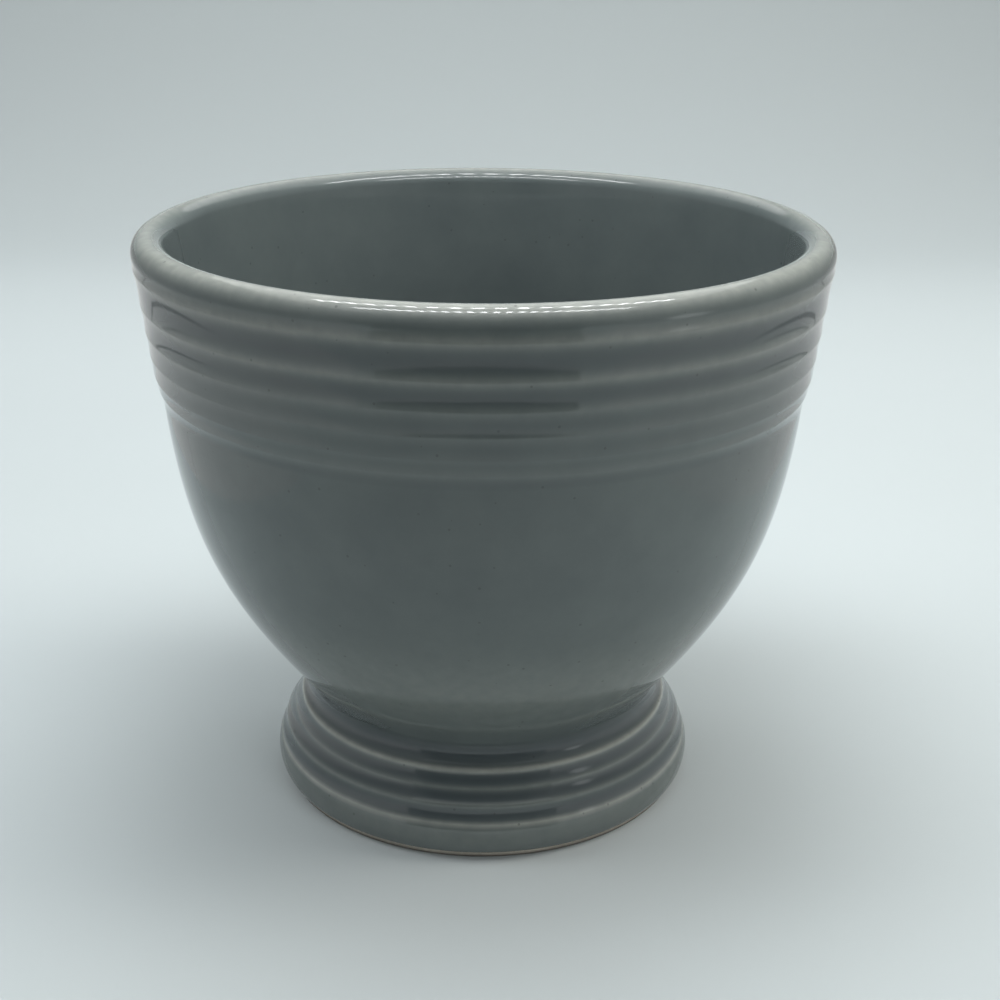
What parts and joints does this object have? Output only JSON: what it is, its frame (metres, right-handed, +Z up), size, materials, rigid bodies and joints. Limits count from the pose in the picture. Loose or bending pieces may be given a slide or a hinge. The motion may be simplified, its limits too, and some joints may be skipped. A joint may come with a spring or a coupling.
{
  "type": "egg cup",
  "caption": "Large footed egg cup of grey glazed earthenware: open bowl with a rolled lip and concentric rings under it, narrow neck, and a hollow ringed foot that stands on bare clay.",
  "frame": {"origin": "centre of the ring that the foot stands on, at the level of the table", "axes": "+Z up along the cup's axis, from the foot to the open bowl; X and Y are level, and the cup is round about Z"},
  "size_m": [0.086, 0.086, 0.0742],
  "materials": {
    "clay": "fired bare earthenware, matt",
    "slip": "fired joining slip, matt",
    "grey_glaze": "opaque grey glaze, glossy"
  },
  "bodies": {
    "root": {"bowl": "clay", "foot": "clay", "luting_slip": "slip", "glaze_coat": "grey_glaze", "foot_glaze": "grey_glaze"}
  },
  "joints": []
}
